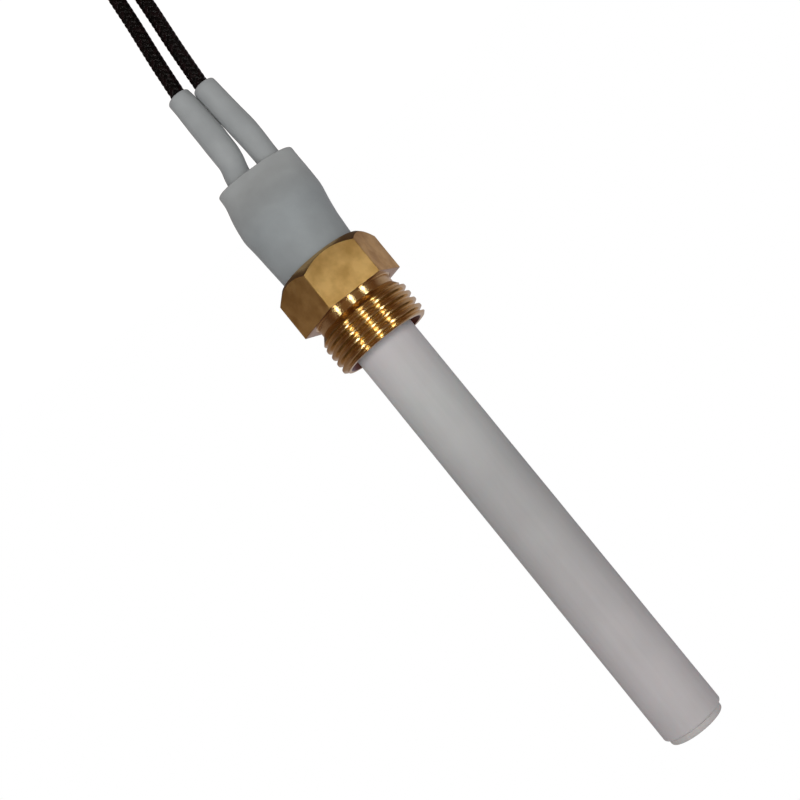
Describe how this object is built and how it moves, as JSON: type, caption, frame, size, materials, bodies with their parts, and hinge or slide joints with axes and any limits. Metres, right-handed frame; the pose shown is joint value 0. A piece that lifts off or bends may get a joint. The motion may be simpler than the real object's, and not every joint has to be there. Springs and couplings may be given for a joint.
{
  "type": "ceramic igniter probe",
  "caption": "Pale ceramic heater rod in a brass hexagon pipe fitting, with a grey insulating boot and two black braided leads.",
  "frame": {"origin": "centre of the brass fitting's seating shoulder, on the rod's axis", "axes": "+Z along the ceramic rod towards its hot tip; -Z towards the leads; +X towards the side of lead b, -X towards lead a; +Y is the side seen in the picture"},
  "size_m": [0.0194, 0.0186, 0.2097],
  "materials": {
    "brass": "machined, satin",
    "cement": "rough, matt",
    "core_ceramic": "sintered, matt",
    "cover_ceramic": "sintered, matt",
    "tungsten": "printed metal",
    "pad_metal": "plated",
    "braze_alloy": "satin",
    "nickel": "drawn",
    "tin_plate": "tin plated",
    "boot_silicone": "matt",
    "filling": "matt",
    "sleeve_silicone": "matt",
    "insulation": "matt",
    "glass_braid": "braided, lacquered"
  },
  "bodies": {
    "probe": {"fitting": "brass", "cement_ring": "cement", "core_tube": "core_ceramic", "cover_layer": "cover_ceramic", "heater_track": "tungsten", "track_vias": "tungsten", "contact_pad_a": "pad_metal", "contact_pad_b": "pad_metal", "braze_a": "braze_alloy", "braze_b": "braze_alloy", "terminal_wire_a": "nickel", "terminal_wire_b": "nickel", "crimp_a": "tin_plate", "crimp_b": "tin_plate", "boot_sleeve": "boot_silicone", "rear_filling": "filling", "small_sleeve_a": "sleeve_silicone", "small_sleeve_b": "sleeve_silicone", "conductor_a_tail": "tin_plate", "insulation_a_tail": "insulation", "braid_a_tail": "glass_braid", "conductor_b_tail": "tin_plate", "insulation_b_tail": "insulation", "braid_b_tail": "glass_braid"},
    "lead_a": {"conductor_a": "tin_plate", "insulation_a": "insulation", "braid_a": "glass_braid", "end_sleeve_a": "sleeve_silicone", "ferrule_a": "tin_plate"},
    "lead_b": {"conductor_b": "tin_plate", "insulation_b": "insulation", "braid_b": "glass_braid", "end_sleeve_b": "sleeve_silicone", "ferrule_b": "tin_plate"}
  },
  "joints": [
    {"name": "lead_a_bend", "type": "hinge", "parent": "probe", "child": "lead_a", "pos_m": [0.00003, 0, -0.051], "axis": [1, 0, 0], "range_deg": [-60, 60]},
    {"name": "lead_b_bend", "type": "hinge", "parent": "probe", "child": "lead_b", "pos_m": [0.00402, 0, -0.051], "axis": [1, 0, 0], "range_deg": [-60, 60]}
  ]
}
